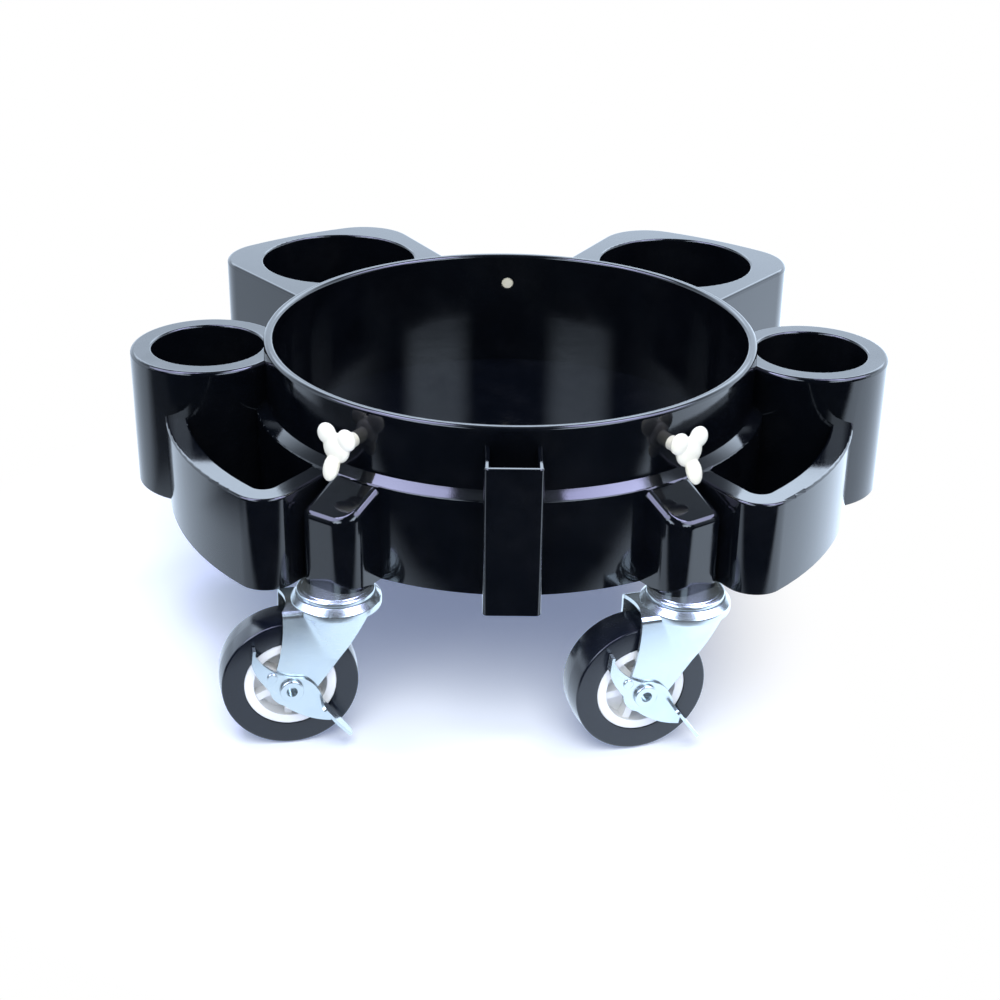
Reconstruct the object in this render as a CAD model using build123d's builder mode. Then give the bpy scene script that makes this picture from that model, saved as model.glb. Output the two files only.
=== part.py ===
from build123d import *
import math
import os

# A round trolley for a cleaning bucket, on five swivel casters.
# The origin is the centre of the bucket seat, on top of the well floor. +Z is up and the front faces -Y.
# Azimuths are in degrees from the front, positive towards +X. All lengths are in millimetres.

# Bucket ring
WELL_R = 137.0
WELL_DEPTH = 72.0
RIM_WALL = 5.5
RIM_EDGE = 2.2
LOWER_WALL = 12.0
SHOULDER_Z = 36.6
SHOULDER_DROP = 3.8
SHOULDER_EDGE = 1.6
FLOOR_T = 4.0
SKIRT_DROP = 21.5
RIB_COUNT = 10
RIB_T = 3.0
RIB_HUB_R = 22.0

# Wall of the cored places under the trays, cups and blocks
WALL = 3.5

# Round side cups
CUP_TOP_Z = 59.5
CUP_BORE_R = 32.4
CUP_WALL = 12.3
CUP_WEB = 1.8
CUP_Y = 2.7
CUP_EDGE = 2.4
MOUTH_EDGE = 1.5

# Rear cup blocks
REAR_AZ = 145.8
REAR_BORE_R = 50.0
REAR_WEB = 0.5
REAR_END_WALL = 10.0
REAR_SIDE_WALL = 18.5
REAR_TAPER = 0.859
REAR_CORNER = 34.0

# Front side trays
TRAY_TOP_Z = 31.7
TRAY_WIDTH = 39.0
TRAY_WALL = 12.5
TRAY_CORNER = 17.0
TRAY_POCKET_CORNER = 7.0
TRAY_BOSS_GAP = 2.2
TRAY_EDGE = 1.6

# Front socket tube
TUBE_TOP_Z = 62.0
TUBE_W = 30.2
TUBE_DEPTH = 22.0
TUBE_WALL = 3.0
TUBE_CORNER = 2.6
TUBE_EDGE = 0.9

# Caster bosses
CASTER_OUT = 18.0
FRONT_CASTER_AZ = 34.0
SIDE_CASTER_AZ = 108.0
REAR_CASTER_AZ = 180.0
BOSS_INNER_W = 16.2
BOSS_OUTER_W = 16.6
BOSS_FRONT = 8.3
BOSS_TOP_Z = 31.5
BOSS_SLOPE = 22.0
BOSS_INNER_CORNER = 13.0
BOSS_OUTER_CORNER = 6.0
BOSS_EDGE = 5.0

# Thumbscrews
SCREW_AZ = 36.0
SCREW_Z = 52.8
SCREW_R = 4.0
SCREW_TRAVEL = 8.0
SCREW_TIP_INSET = 0.5
SCREW_HUB_R = 6.6
SCREW_HUB_L = 8.4
WING_T = 5.8
WING_TIP_R = 4.2
EAR_L = 14.8
EAR_SPREAD = 52.0
TAIL_L = 18.4
WING_EDGE = 1.8

# Caster stem, insert and swivel raceway
STEM_R = 5.0
STEM_L = 26.0
STEM_RIVET_R = 8.0
STEM_RIVET_T = 3.0
STEM_HOLE_SPARE = 1.0
INSERT_WALL = 1.5
INSERT_L = 24.0
CAP_R = 21.0
CAP_T = 3.0
CAP_EDGE = 2.4
BALL_R = 2.5
BALL_COUNT = 12
BALL_PITCH_R = 14.5
BALL_SINK = 1.5
RACE_SINK = 0.6
CAGE_W = 3.0
CAGE_T = 0.8
CROWN_R = 24.5
CROWN_T = 3.5
CROWN_DOME = 3.4
CROWN_LIP_W = 3.0
CROWN_SKIRT = 1.5
CROWN_WALL = 2.4
CROWN_EDGE = 1.5

# Wheel
WHEEL_R = 37.5
TYRE_W = 23.0
TYRE_CROWN = 1.0
TYRE_EDGE = 1.6
HUB_R = 25.0
HUB_RIM_T = 5.2
HUB_WEB_T = 4.0
HUB_BOSS_R = 9.5
HUB_BOSS_OUT = 1.3
HUB_SPOKE_PAIRS = 3
HUB_SPOKE_T = 4.2
HUB_SPOKE_INSET = 2.4
HUB_FACE_INSET = 0.6
HUB_EDGE = 0.8

# Fork and axle
TRAIL = 27.0
AXLE_DROP = 52.5
FORK_T = 2.2
FORK_SIDE_GAP = 1.8
FORK_FOLD = 3.0
FORK_BACK = 3.0
FORK_FRONT = 17.0
FORK_SAG = 2.6
FORK_BULGE = 1.6
FORK_DRAW = 27.6
PLATE_SAG = 3.0
LEG_END_R = 11.5
AXLE_R = 4.0
AXLE_HEAD_R = 6.4
AXLE_HEAD_T = 2.0
AXLE_HEAD_EDGE = 0.8
AXLE_HOLLOW_R = 3.0
AXLE_HOLLOW_L = 9.0
AXLE_FLATS = 13.0
AXLE_NUT_T = 6.4
AXLE_TAIL = 1.6
AXLE_CHAMFER = 0.6
SLEEVE_WALL = 1.5

# Brake lever, in the plane of its plate, from the axle
LEVER_T = 1.6
LEVER_UPPER = (
    (-19.5, 25.5),
    (-15.7, 18.3),
    (-10.5, 13.0),
    (-5.2, 9.4),
    (0.0, 7.4),
    (6.5, 6.2),
    (12.3, 1.6),
    (16.6, -8.0),
)
LEVER_FOLD_END = (21.6, -15.0)
LEVER_LOWER = (
    (20.4, -21.3),
    (9.8, -18.5),
    (3.9, -15.6),
    (-2.6, -11.0),
    (-9.2, -3.7),
    (-12.8, 1.7),
    (-17.0, 8.0),
    (-20.5, 17.0),
)
PEDAL_W = 10.0
PEDAL_TIP_W = 6.0
PEDAL_L = 26.0
PEDAL_CORNER = 2.6
SHOE_REACH = 3.5
RIVET_AT = (-10.0, 8.5)
RIVET_R = 2.8
RIVET_PIN_R = 1.5
RIVET_PROUD = 1.0
RIVET_EDGE = 0.7

# Clearances
RUNNING = 0.05
BALL_CLEARANCE = 0.1
JOINT_GAP = 0.3
SCREW_STOP_GAP = 0.5

# Azimuth of each caster, how far it has swung round from facing the front, and how far its wheel has rolled
CASTERS = {
    "front_left": (-FRONT_CASTER_AZ, 11.2, 25.0),
    "front_right": (FRONT_CASTER_AZ, 16.5, 9.0),
    "side_left": (-SIDE_CASTER_AZ, 188.0, 50.0),
    "side_right": (SIDE_CASTER_AZ, 20.0, 37.0),
    "rear": (REAR_CASTER_AZ, 13.0, 16.0),
}
BRAKED = ("front_left", "front_right")

# Azimuth of each thumbscrew, and how far its long wing is turned from hanging straight down
THUMBSCREWS = {
    "front_left": (-SCREW_AZ, -13.0),
    "front_right": (SCREW_AZ, 13.0),
    "rear": (REAR_CASTER_AZ, 0.0),
}

# Sizes that follow from the driving dimensions
rim_r = WELL_R + RIM_WALL
lower_r = WELL_R + LOWER_WALL
root_r = WELL_R + RIM_WALL / 2
core_r = WELL_R / 2
base_z = -SKIRT_DROP
pocket_floor_z = base_z + WALL
cup_x = rim_r + CUP_WEB + CUP_BORE_R
cup_r = CUP_BORE_R + CUP_WALL
rear_cup_r = lower_r + REAR_WEB + REAR_BORE_R
rear_end_r = rear_cup_r + REAR_BORE_R + REAR_END_WALL
rear_half_w = REAR_BORE_R + REAR_SIDE_WALL
block_root_r = math.sqrt(root_r**2 - rear_half_w**2)
tray_inner_r = lower_r + TRAY_WIDTH
tray_r = tray_inner_r + TRAY_WALL
tray_offset = BOSS_OUTER_W + TRAY_BOSS_GAP
tube_front = lower_r + TUBE_DEPTH
caster_r = lower_r + CASTER_OUT
boss_front_r = caster_r + BOSS_FRONT
screw_hub_r = rim_r + SCREW_TRAVEL + SCREW_STOP_GAP
insert_r = STEM_R + INSERT_WALL
crown_top_z = -CAP_T - JOINT_GAP
ball_z = crown_top_z - BALL_SINK
race_z = ball_z - RACE_SINK
crown_under_z = race_z - CROWN_T
plate_top_z = crown_under_z + FORK_T
rivet_top_z = crown_under_z - JOINT_GAP
fork_half = TYRE_W / 2 + FORK_SIDE_GAP + FORK_T
fork_inner = fork_half - FORK_T
drawn_r = CROWN_R - FORK_T / 2
sleeve_r = AXLE_R + SLEEVE_WALL
lever_y = fork_half + JOINT_GAP
brake_head_y = lever_y + LEVER_T + JOINT_GAP


def radial(azimuth):
    """Unit vector out from the ring axis at an azimuth."""
    angle = math.radians(azimuth)
    return Vector(math.sin(angle), -math.cos(angle), 0)


def tangent(azimuth):
    """Unit vector along the ring, towards a larger azimuth."""
    angle = math.radians(azimuth)
    return Vector(math.cos(angle), math.sin(angle), 0)


def ring_plane(azimuth, radius, z):
    """Level plane at a radius and azimuth, with local X pointing out from the ring axis."""
    return Plane(origin=radial(azimuth) * radius + Vector(0, 0, z), x_dir=radial(azimuth), z_dir=(0, 0, 1))


def beside_boss(radius, offset):
    """Point at a radius on the line parallel to the front right boss, at an offset from its middle."""
    along = math.sqrt(radius**2 - offset**2)
    return radial(FRONT_CASTER_AZ) * along + tangent(FRONT_CASTER_AZ) * offset


def tray_outline(inner_r, outer_r, offset, corner):
    """Tray outline, from a line beside the front boss, round an arc, to the middle of the side cup."""
    start = beside_boss(inner_r, offset)
    turn = beside_boss(outer_r, offset)
    end = Vector(math.sqrt(outer_r**2 - CUP_Y**2), CUP_Y)
    with BuildSketch() as outline:
        with BuildLine():
            Line(start, turn)
            ThreePointArc(turn, (turn + end).normalized() * outer_r, end)
            Polyline(end, (inner_r, CUP_Y), start)
        make_face()
        fillet(outline.vertices().sort_by_distance(turn)[0], corner)
    return outline.sketch


def block_outline(end_r, half_w, corner):
    """Rear block outline in a plane on the ring axis, with its outer side concentric with the ring."""
    corner_x = math.sqrt(end_r**2 - half_w**2)
    with BuildSketch() as outline:
        with BuildLine():
            Line((block_root_r, -half_w * REAR_TAPER), (corner_x, -half_w))
            ThreePointArc((corner_x, -half_w), (end_r, 0), (corner_x, half_w))
            Polyline(
                (corner_x, half_w),
                (block_root_r, half_w * REAR_TAPER),
                (block_root_r, -half_w * REAR_TAPER),
            )
        make_face()
        fillet(outline.vertices().sort_by(Axis.X)[-2:], corner)
    return outline.sketch


def caster_plane(name):
    """Frame of a caster: origin where its swivel axis meets the boss, local X along the rolling direction."""
    azimuth, heading, roll = CASTERS[name]
    origin = radial(azimuth) * caster_r + Vector(0, 0, base_z)
    return Plane(origin=origin, x_dir=tangent(heading), z_dir=(0, 0, 1))


def axle_location(name):
    """Frame of a caster's axle: origin at the wheel's centre, local Y along the axle."""
    return caster_plane(name).location * Location((-TRAIL, 0, -AXLE_DROP))


def wheel_location(name):
    """Frame of a caster's wheel, turned about the axle by how far it has rolled."""
    azimuth, heading, roll = CASTERS[name]
    return axle_location(name) * Rotation(0, -roll, 0)


def screw_location(name):
    """Frame of a thumbscrew: origin on the ring axis, local Z out along the screw."""
    azimuth, turn = THUMBSCREWS[name]
    plane = Plane(origin=(0, 0, SCREW_Z), x_dir=tangent(azimuth), z_dir=radial(azimuth))
    return plane.location * Rotation(0, 0, turn)


def write(part, name):
    """Label a finished piece and write it."""
    part.label = name
    export_step(part, f"parts/{name}.step")


def write_copy(blank, location, name):
    """Place a copy of a piece and write it."""
    with BuildPart() as placed:
        with Locations(location):
            add(blank.part)
    write(placed.part, name)


os.makedirs("parts", exist_ok=True)

# Trays at both front sides: a pocket with a cored wall round it
with BuildPart() as trays:
    with BuildSketch(Plane.XY.offset(base_z)):
        add(tray_outline(root_r, tray_r, tray_offset, TRAY_CORNER))
    extrude(amount=TRAY_TOP_Z - base_z)
    with BuildSketch(Plane.XY.offset(pocket_floor_z)):
        add(tray_outline(core_r, tray_inner_r, tray_offset + TRAY_WALL, TRAY_POCKET_CORNER))
    extrude(amount=TRAY_TOP_Z - pocket_floor_z, mode=Mode.SUBTRACT)
    fillet(trays.faces().sort_by(Axis.Z)[-1].edges(), TRAY_EDGE)
    with BuildSketch(Plane.XY.offset(base_z)):
        add(tray_outline(core_r, tray_r - WALL, tray_offset + WALL, TRAY_CORNER - WALL))
        pocket_wall = tray_outline(
            core_r, tray_inner_r + WALL, tray_offset + TRAY_WALL - WALL, TRAY_POCKET_CORNER + WALL
        )
        add(pocket_wall, mode=Mode.SUBTRACT)
    extrude(amount=TRAY_TOP_Z - WALL - base_z, mode=Mode.SUBTRACT)
    mirror(about=Plane.YZ)

# Round cups at both sides
with BuildPart() as side_cups:
    with BuildSketch(Plane.XY.offset(base_z)):
        with Locations((-cup_x, CUP_Y), (cup_x, CUP_Y)):
            Circle(cup_r)
    extrude(amount=CUP_TOP_Z - base_z)
    fillet(side_cups.edges().group_by(Axis.Z)[-1], CUP_EDGE)

# Blocks that hold the rear cups
with BuildPart() as rear_blocks:
    for azimuth in (-REAR_AZ, REAR_AZ):
        with BuildSketch(ring_plane(azimuth, 0, base_z)):
            add(block_outline(rear_end_r, rear_half_w, REAR_CORNER))
        extrude(amount=CUP_TOP_Z - base_z)
    fillet(rear_blocks.edges().group_by(Axis.Z)[-1], CUP_EDGE)

# Boss that carries a caster, with a top that slopes down outwards and its rounder corner towards the front
with BuildPart() as boss:
    with BuildSketch(Plane.XY.offset(base_z)) as boss_outline:
        with Locations((root_r, -BOSS_INNER_W)):
            Rectangle(boss_front_r - root_r, BOSS_INNER_W + BOSS_OUTER_W, align=(Align.MIN, Align.MIN))
        fillet(boss_outline.vertices().group_by(Axis.X)[-1].sort_by(Axis.Y)[0], BOSS_INNER_CORNER)
        fillet(boss_outline.vertices().group_by(Axis.Y)[-1].sort_by(Axis.X)[-1], BOSS_OUTER_CORNER)
    extrude(amount=SHOULDER_Z - base_z)
    slope = Plane(origin=(lower_r, 0, BOSS_TOP_Z), z_dir=(0, 0, 1)).rotated((0, BOSS_SLOPE, 0))
    split(bisect_by=slope, keep=Keep.BOTTOM)
    fillet(boss.faces().sort_by(Axis.Z)[-1].edges(), BOSS_EDGE)

# Bosses round the ring, mirrored on the left
with BuildPart() as bosses:
    for azimuth, heading, roll in CASTERS.values():
        with Locations(ring_plane(azimuth, 0, 0)):
            add(boss.part if azimuth > 0 else mirror(boss.part, about=Plane.XZ, mode=Mode.PRIVATE))

# Square socket tube at the front, open at the back where the ring closes it
with BuildPart() as tube:
    with BuildSketch(Plane.XY.offset(base_z)):
        with Locations((0, -root_r)):
            Rectangle(TUBE_W, tube_front - root_r, align=(Align.CENTER, Align.MAX))
    extrude(amount=TUBE_TOP_Z - base_z)
    fillet(tube.edges().filter_by(Axis.Z).group_by(Axis.Y)[0], TUBE_CORNER)
    with BuildSketch(Plane.XY.offset(pocket_floor_z)):
        with Locations((0, -core_r)):
            tube_hole_l = tube_front - TUBE_WALL - core_r
            Rectangle(TUBE_W - 2 * TUBE_WALL, tube_hole_l, align=(Align.CENTER, Align.MAX))
    extrude(amount=TUBE_TOP_Z - pocket_floor_z, mode=Mode.SUBTRACT)
    fillet(tube.faces().sort_by(Axis.Z)[-1].edges(), TUBE_EDGE)

# Ring blank: rim wall, sloping shoulder and thicker lower wall
with BuildPart() as ring:
    with BuildSketch(Plane.XZ) as ring_profile:
        with BuildLine():
            Polyline(
                (0, base_z),
                (lower_r, base_z),
                (lower_r, SHOULDER_Z - SHOULDER_DROP),
                (rim_r, SHOULDER_Z),
                (rim_r, WELL_DEPTH),
                (0, WELL_DEPTH),
                close=True,
            )
        make_face()
        fillet(ring_profile.vertices().sort_by_distance((rim_r, WELL_DEPTH))[0], RIM_EDGE)
        shoulder_edge = ring_profile.vertices().sort_by_distance((lower_r, SHOULDER_Z - SHOULDER_DROP))[0]
        fillet(shoulder_edge, SHOULDER_EDGE)
    revolve(axis=Axis.Z)

# Body moulding: the blanks above as one piece, with the well, cups and cores cut out of it
with BuildPart() as body_moulding:
    add(trays.part)
    add(side_cups.part)
    add(rear_blocks.part)
    add(bosses.part)
    add(tube.part)
    add(ring.part)
    with BuildSketch(Plane.XY):
        Circle(WELL_R)
    extrude(amount=WELL_DEPTH, mode=Mode.SUBTRACT)
    with BuildSketch(Plane.XY.offset(base_z)):
        Circle(WELL_R)
        for turn in range(RIB_COUNT // 2):
            Rectangle(2 * WELL_R, RIB_T, rotation=turn * 360 / RIB_COUNT, mode=Mode.SUBTRACT)
        Circle(RIB_HUB_R + RIB_T, mode=Mode.SUBTRACT)
        Circle(RIB_HUB_R)
    extrude(amount=SKIRT_DROP - FLOOR_T, mode=Mode.SUBTRACT)
    with BuildSketch(Plane.XY.offset(pocket_floor_z)):
        with Locations((-cup_x, CUP_Y), (cup_x, CUP_Y)):
            Circle(CUP_BORE_R)
        with Locations(radial(-REAR_AZ) * rear_cup_r, radial(REAR_AZ) * rear_cup_r):
            Circle(REAR_BORE_R)
    extrude(amount=CUP_TOP_Z - pocket_floor_z, mode=Mode.SUBTRACT)
    with BuildSketch(Plane.XY.offset(base_z)):
        with Locations((-cup_x, CUP_Y), (cup_x, CUP_Y)):
            Circle(cup_r - WALL)
            Circle(CUP_BORE_R + WALL, mode=Mode.SUBTRACT)
        Circle(lower_r, mode=Mode.SUBTRACT)
    extrude(amount=CUP_TOP_Z - WALL - base_z, mode=Mode.SUBTRACT)
    for azimuth in (-REAR_AZ, REAR_AZ):
        with BuildSketch(ring_plane(azimuth, 0, base_z)):
            add(block_outline(rear_end_r - WALL, rear_half_w - WALL, REAR_CORNER - WALL))
            with Locations((rear_cup_r, 0)):
                Circle(REAR_BORE_R + WALL, mode=Mode.SUBTRACT)
            Circle(lower_r, mode=Mode.SUBTRACT)
        extrude(amount=CUP_TOP_Z - WALL - base_z, mode=Mode.SUBTRACT)
    with Locations([ring_plane(azimuth, caster_r, base_z) for azimuth, heading, roll in CASTERS.values()]):
        Cylinder(
            insert_r,
            STEM_L + STEM_HOLE_SPARE,
            align=(Align.CENTER, Align.CENTER, Align.MIN),
            mode=Mode.SUBTRACT,
        )
    with Locations([screw_location(name) for name in THUMBSCREWS]):
        Cylinder(
            SCREW_R + RUNNING,
            lower_r,
            align=(Align.CENTER, Align.CENTER, Align.MIN),
            mode=Mode.SUBTRACT,
        )
    rims = body_moulding.edges().filter_by(GeomType.CIRCLE).filter_by_position(Axis.Z, WELL_DEPTH, WELL_DEPTH)
    fillet(rims.sort_by(SortBy.RADIUS)[0], RIM_EDGE)
    tops = body_moulding.edges().filter_by(GeomType.CIRCLE).filter_by_position(Axis.Z, CUP_TOP_Z, CUP_TOP_Z)
    fillet(tops.filter_by(lambda edge: round(edge.radius, 3) in (CUP_BORE_R, REAR_BORE_R)), MOUTH_EDGE)
write(body_moulding.part, "body_moulding")

# Thumbscrew: threaded shank, and a head with a collar, two ears and a longer tail
with BuildPart() as thumbscrew:
    with BuildSketch(Plane.XY.offset(screw_hub_r + SCREW_HUB_L)):
        Circle(SCREW_HUB_R)
        for angle, length in ((90 - EAR_SPREAD, EAR_L), (90 + EAR_SPREAD, EAR_L), (270, TAIL_L)):
            with PolarLocations(0, 1, start_angle=angle):
                SlotCenterPoint((length / 2, 0), (length - WING_TIP_R, 0), 2 * WING_TIP_R)
    extrude(amount=-WING_T)
    fillet(thumbscrew.edges().group_by(Axis.Z)[-1] + thumbscrew.edges().group_by(Axis.Z)[0], WING_EDGE)
    with BuildSketch(Plane.XY.offset(screw_hub_r)):
        Circle(SCREW_HUB_R)
    extrude(amount=SCREW_HUB_L - WING_EDGE)
    with BuildSketch(Plane.XY.offset(WELL_R + SCREW_TIP_INSET)):
        Circle(SCREW_R)
    extrude(amount=screw_hub_r - WELL_R)
for name in THUMBSCREWS:
    write_copy(thumbscrew, screw_location(name), f"thumbscrew_{name}")

# Threaded inserts in the bosses
with BuildPart() as stem_inserts:
    with BuildSketch(Plane.XY.offset(base_z)):
        with Locations([radial(azimuth) * caster_r for azimuth, heading, roll in CASTERS.values()]):
            Circle(insert_r)
            Circle(STEM_R, mode=Mode.SUBTRACT)
    extrude(amount=INSERT_L)
write(stem_inserts.part, "stem_inserts")

# Caster stem, riveted over under the crown of the fork
with BuildPart() as stem:
    with BuildSketch(Plane.XY.offset(rivet_top_z)):
        Circle(STEM_R)
    extrude(amount=STEM_L - rivet_top_z)
    chamfer(stem.faces().sort_by(Axis.Z)[-1].edges(), AXLE_CHAMFER)
    with BuildSketch(Plane.XY.offset(rivet_top_z)):
        Circle(STEM_RIVET_R)
    extrude(amount=-STEM_RIVET_T)
    fillet(stem.faces().sort_by(Axis.Z)[0].edges(), STEM_RIVET_T / 2)

# Upper raceway cap that seats against the boss
with BuildPart() as raceway_cap:
    with BuildSketch():
        Circle(CAP_R)
        Circle(STEM_R, mode=Mode.SUBTRACT)
    extrude(amount=-CAP_T)
    fillet(raceway_cap.faces().sort_by(Axis.Z)[-1].outer_wire().edges(), CAP_EDGE)
    with Locations((0, 0, ball_z)):
        Torus(BALL_PITCH_R, BALL_R + BALL_CLEARANCE, mode=Mode.SUBTRACT)

# Balls in their cage
with BuildPart() as ball_ring:
    with BuildSketch(Plane.XY.offset((race_z - CAP_T - CAGE_T) / 2)):
        Circle(BALL_PITCH_R + CAGE_W / 2)
        Circle(BALL_PITCH_R - CAGE_W / 2, mode=Mode.SUBTRACT)
    extrude(amount=CAGE_T)
    with Locations((0, 0, ball_z)):
        with PolarLocations(BALL_PITCH_R, BALL_COUNT):
            Sphere(BALL_R)

# Fork: a folded channel, drawn out to a dished crown at the top and cut to the outline of its legs
with BuildPart() as fork:
    channel_h = AXLE_DROP + 2 * LEG_END_R
    with BuildSketch(Plane.YZ.offset(-TRAIL - 2 * LEG_END_R)) as channel:
        with Locations((0, plate_top_z)):
            Rectangle(2 * fork_half, channel_h, align=(Align.CENTER, Align.MAX))
        fillet(channel.vertices().group_by(Axis.Y)[-1], FORK_FOLD)
    extrude(amount=TRAIL + 2 * LEG_END_R + 2 * FORK_FRONT)
    with Locations((0, 0, crown_under_z)):
        hanging = (Align.CENTER, Align.CENTER, Align.MAX)
        Cone(fork_half, drawn_r, FORK_DRAW, align=hanging)
        Cone(fork_inner, drawn_r - FORK_T, FORK_DRAW, align=hanging, mode=Mode.SUBTRACT)
        Box(2 * channel_h, 2 * fork_inner, channel_h, align=hanging, mode=Mode.SUBTRACT)
    with BuildSketch(Plane.XZ):
        back_top = Vector(-TRAIL - FORK_BACK, plate_top_z)
        front_top = Vector(FORK_FRONT, plate_top_z)
        axle = Vector(-TRAIL, -AXLE_DROP)
        lean = math.degrees(math.atan2(front_top.Y - axle.Y, front_top.X - axle.X))
        lean = lean - math.degrees(math.acos(LEG_END_R / (front_top - axle).length))
        front_low = axle + Vector(LEG_END_R, 0).rotate(Axis.Z, lean)
        back_low = axle - Vector(LEG_END_R, 0)
        with BuildLine():
            Line(back_top, front_top)
            SagittaArc(front_top, front_low, FORK_BULGE)
            ThreePointArc(front_low, axle - Vector(0, LEG_END_R), back_low)
            SagittaArc(back_low, back_top, -FORK_SAG)
        make_face()
    extrude(amount=CROWN_R, both=True, mode=Mode.INTERSECT)
    with BuildSketch(Plane.XY.offset(plate_top_z)):
        with BuildLine():
            SagittaArc((back_top.X, -fork_inner), (back_top.X, fork_inner), PLATE_SAG)
            Line((back_top.X, fork_inner), (back_top.X, -fork_inner))
        make_face()
    extrude(amount=-FORK_T, mode=Mode.SUBTRACT)
    with BuildSketch(Plane.XZ) as crown_profile:
        with BuildLine():
            Polyline(
                (0, race_z),
                (CAP_R + JOINT_GAP - CROWN_LIP_W, race_z),
                (CAP_R + JOINT_GAP - CROWN_LIP_W, crown_top_z),
                (CAP_R + JOINT_GAP, crown_top_z),
                (CROWN_R, crown_top_z - CROWN_DOME),
                (CROWN_R, crown_under_z - CROWN_SKIRT),
                (CROWN_R - CROWN_WALL, crown_under_z - CROWN_SKIRT),
                (CROWN_R - CROWN_WALL, crown_under_z),
                (0, crown_under_z),
                close=True,
            )
        make_face()
        fillet(crown_profile.vertices().sort_by_distance((CAP_R + JOINT_GAP, crown_top_z))[0], CROWN_EDGE)
        fillet(crown_profile.vertices().sort_by_distance((CROWN_R, crown_top_z - CROWN_DOME))[0], CROWN_EDGE)
    revolve(axis=Axis.Z)
    with Locations((0, 0, ball_z)):
        Torus(BALL_PITCH_R, BALL_R + BALL_CLEARANCE, mode=Mode.SUBTRACT)
        Cylinder(STEM_R + RUNNING, 2 * WHEEL_R, mode=Mode.SUBTRACT)
    with Locations(Plane(origin=(-TRAIL, 0, -AXLE_DROP), x_dir=(1, 0, 0), z_dir=(0, 1, 0))):
        Cylinder(AXLE_R, 4 * fork_half, mode=Mode.SUBTRACT)

# Axle bolts about the wheel's centre, with a low hollow head on the near side
with BuildPart() as axle_bolt:
    with BuildSketch(Plane.XZ.offset(fork_half)):
        Circle(AXLE_R)
    extrude(amount=-2 * fork_half - AXLE_NUT_T - AXLE_TAIL)
    chamfer(axle_bolt.faces().sort_by(Axis.Y)[-1].edges(), AXLE_CHAMFER)
    with BuildSketch(Plane.XZ.offset(fork_half)):
        Circle(AXLE_HEAD_R)
    extrude(amount=AXLE_HEAD_T)
    fillet(axle_bolt.faces().sort_by(Axis.Y)[0].edges(), AXLE_HEAD_EDGE)
    with BuildSketch(Plane.XZ.offset(fork_half + AXLE_HEAD_T)):
        Circle(AXLE_HOLLOW_R)
    extrude(amount=-AXLE_HOLLOW_L, mode=Mode.SUBTRACT)

# Longer axle bolt of the braked casters, which passes through the lever
with BuildPart() as brake_axle_bolt:
    with BuildSketch(Plane.XZ.offset(brake_head_y)):
        Circle(AXLE_R)
    extrude(amount=-brake_head_y - fork_half - AXLE_NUT_T - AXLE_TAIL)
    chamfer(brake_axle_bolt.faces().sort_by(Axis.Y)[-1].edges(), AXLE_CHAMFER)
    with BuildSketch(Plane.XZ.offset(brake_head_y)):
        Circle(AXLE_HEAD_R)
    extrude(amount=AXLE_HEAD_T)
    fillet(brake_axle_bolt.faces().sort_by(Axis.Y)[0].edges(), AXLE_HEAD_EDGE)
    with BuildSketch(Plane.XZ.offset(brake_head_y + AXLE_HEAD_T)):
        Circle(AXLE_HOLLOW_R)
    extrude(amount=-AXLE_HOLLOW_L, mode=Mode.SUBTRACT)

# Sleeve between the legs that the wheel turns on, and the nut against the far leg
with BuildPart() as axle_sleeve:
    with BuildSketch(Plane.XZ):
        Circle(sleeve_r)
        Circle(AXLE_R, mode=Mode.SUBTRACT)
    extrude(amount=fork_inner, both=True)
with BuildPart() as axle_nut:
    with BuildSketch(Plane.XZ.offset(-fork_half)):
        RegularPolygon(AXLE_FLATS / 2, 6, major_radius=False)
        Circle(AXLE_R, mode=Mode.SUBTRACT)
    extrude(amount=-AXLE_NUT_T)

# Wheel hub with a thin web, six ribs and a centre boss
with BuildPart() as wheel_hub:
    hub_half = TYRE_W / 2 - HUB_FACE_INSET
    with BuildSketch(Plane.XZ):
        Circle(HUB_R)
    extrude(amount=hub_half, both=True)
    fillet(wheel_hub.edges().filter_by(GeomType.CIRCLE), HUB_EDGE)
    with BuildSketch(Plane.XZ.offset(HUB_WEB_T / 2)):
        Circle(HUB_R - HUB_RIM_T)
    extrude(amount=hub_half, mode=Mode.SUBTRACT)
    with BuildSketch(Plane.XZ.offset(-HUB_WEB_T / 2)):
        Circle(HUB_R - HUB_RIM_T)
    extrude(amount=-hub_half, mode=Mode.SUBTRACT)
    with BuildSketch(Plane.XZ):
        for turn in range(HUB_SPOKE_PAIRS):
            Rectangle(
                2 * HUB_R - HUB_RIM_T,
                HUB_SPOKE_T,
                rotation=turn * 180 / HUB_SPOKE_PAIRS,
            )
    extrude(amount=hub_half - HUB_SPOKE_INSET, both=True)
    with BuildSketch(Plane.XZ):
        Circle(HUB_BOSS_R)
    extrude(amount=TYRE_W / 2 + HUB_BOSS_OUT, both=True)
    with BuildSketch(Plane.XZ):
        Circle(sleeve_r + RUNNING)
    extrude(amount=TYRE_W, both=True, mode=Mode.SUBTRACT)

# Tyre with a slightly crowned tread
with BuildPart() as tyre:
    with BuildSketch() as tread:
        with BuildLine():
            Polyline(
                (WHEEL_R - TYRE_CROWN, TYRE_W / 2),
                (HUB_R, TYRE_W / 2),
                (HUB_R, -TYRE_W / 2),
                (WHEEL_R - TYRE_CROWN, -TYRE_W / 2),
            )
            ThreePointArc(
                (WHEEL_R - TYRE_CROWN, -TYRE_W / 2),
                (WHEEL_R, 0),
                (WHEEL_R - TYRE_CROWN, TYRE_W / 2),
            )
        make_face()
        fillet(tread.vertices().sort_by(Axis.X)[-2:], TYRE_EDGE)
    revolve(axis=Axis.Y)

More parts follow.
